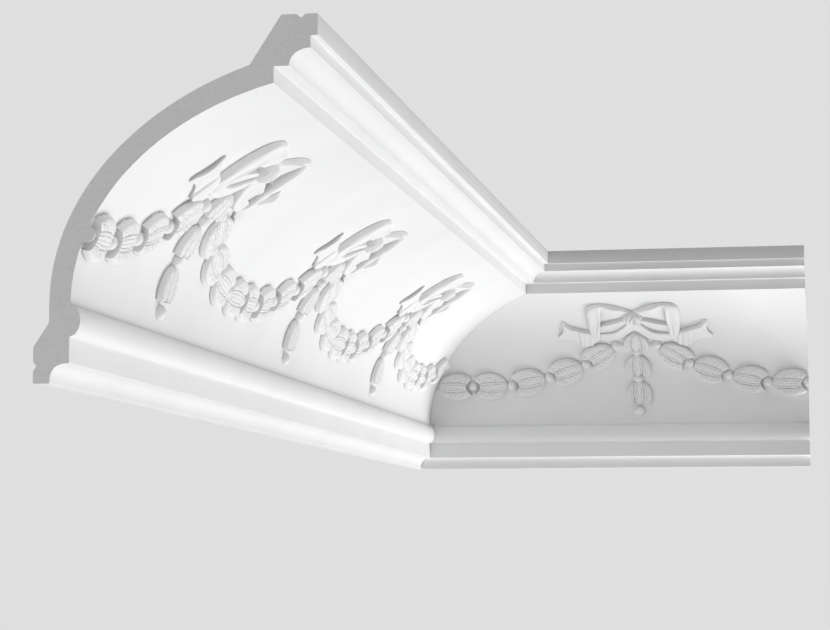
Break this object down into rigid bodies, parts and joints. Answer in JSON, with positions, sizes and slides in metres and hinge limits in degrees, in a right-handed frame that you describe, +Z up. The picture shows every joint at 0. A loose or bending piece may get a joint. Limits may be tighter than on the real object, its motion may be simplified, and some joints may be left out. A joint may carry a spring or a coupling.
{
  "type": "flexible cornice moulding corner",
  "caption": "Inside corner of a coved cornice in mitred lengths, with ribbon bows, hanging husks and beaded husk swags in relief on the cove.",
  "frame": {"origin": "on the back of the right length, at its middle, on the flat foot that is glued to the wall, 13.8 mm above the bottom edge", "axes": "+X along the right length away from the corner, +Y into the wall behind it, +Z up to the ceiling; the left length runs along -Y on the wall at the left"},
  "size_m": [0.3428, 1, 0.172],
  "materials": {
    "primed_polyurethane": "smooth matte white primer over flexible polyurethane, with pale grey where a length is sawn"
  },
  "bodies": {
    "root": {"left_cornice_length": "primed_polyurethane", "right_cornice_length": "primed_polyurethane"}
  },
  "joints": []
}
